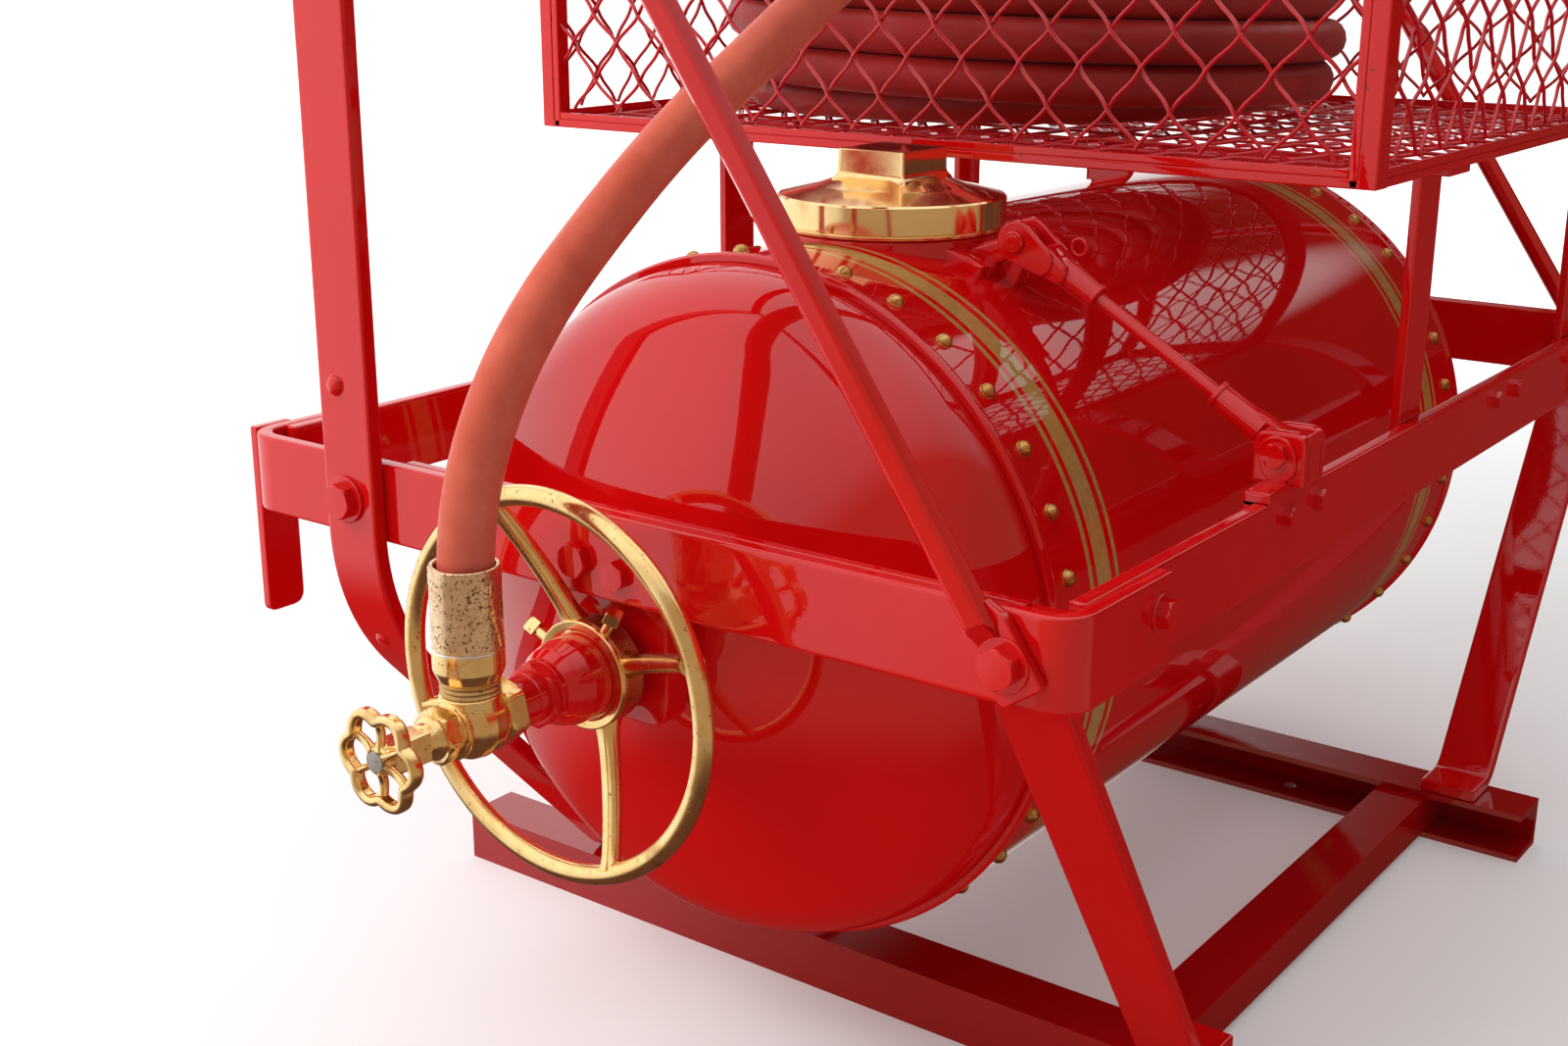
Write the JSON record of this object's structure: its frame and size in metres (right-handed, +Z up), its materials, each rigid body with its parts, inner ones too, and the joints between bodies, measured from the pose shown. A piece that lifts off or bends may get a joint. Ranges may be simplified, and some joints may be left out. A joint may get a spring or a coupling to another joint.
{
  "type": "revolving chemical tank unit with carrying frame and hose basket, of an old fire engine",
  "caption": "Crosswise chemical tank on trunnions, turned by a brass handwheel, in a red frame with a wire hose basket and coiled hose.",
  "frame": {"origin": "on the floor under the tank's middle, at the centre of the four bolt holes in the sills' lower flanges", "axes": "+X is the vehicle's front, +Y goes away from the handwheel side along the tank's axis, +Z is up"},
  "size_m": [0.863, 1.4295, 1.33],
  "materials": {
    "red": "gloss vehicle enamel, warm red",
    "tankred": "gloss vehicle enamel, warm red, with gold stripes",
    "brass": "polished brass with light wear",
    "rubber": "red-brown rubber hose",
    "dark": "red enamel, underside"
  },
  "bodies": {
    "frame": {"base_sills": "dark", "base_ties": "dark", "side_rails": "red", "cross_rails": "red", "rail_stiffeners": "red", "corner_plates": "red", "front_legs": "red", "posts": "red", "diagonal_braces": "red", "post_tie": "red", "bearing_saddles": "red", "bearing_caps": "red", "lock_bracket": "red", "angle_valve": "brass", "valve_wheel": "brass", "hose_coupling": "brass", "basket_bottom_long": "red", "basket_bottom_short": "red", "basket_top_long": "red", "basket_top_short": "red", "basket_uprights": "red", "basket_bearers": "red", "basket_stays": "red", "mesh_near": "red", "mesh_far": "red", "mesh_rear": "red", "mesh_front": "red", "mesh_floor": "red", "hose_run": "rubber", "hose_coil": "rubber", "hose_nozzle": "brass"},
    "tank": {"tank_shell": "tankred", "head_near": "tankred", "head_far": "tankred", "trunnion_near": "red", "trunnion_far": "red", "packing_hex": "red", "handwheel": "brass", "filler_neck": "red", "lock_lug": "red"},
    "cap": {"filler_cap": "brass"},
    "rod": {"lock_rod": "red"}
  },
  "joints": [
    {"name": "tank_revolve", "type": "hinge", "parent": "frame", "child": "tank", "pos_m": [0, 0, 0.38], "axis": [0, -1, 0], "range_deg": [0, 180]},
    {"name": "lock_rod_swing", "type": "hinge", "parent": "frame", "child": "rod", "pos_m": [0.362, -0.24, 0.524], "axis": [0, 1, 0], "range_deg": [0, 70]},
    {"name": "cap_unscrew", "type": "hinge", "parent": "tank", "child": "cap", "pos_m": [0, -0.228, 0.68], "axis": [0, 0, 1], "continuous": true}
  ],
  "couplings": [
    {"joint": "lock_rod_swing", "follows": "tank_revolve", "ratio": 0.38889}
  ]
}
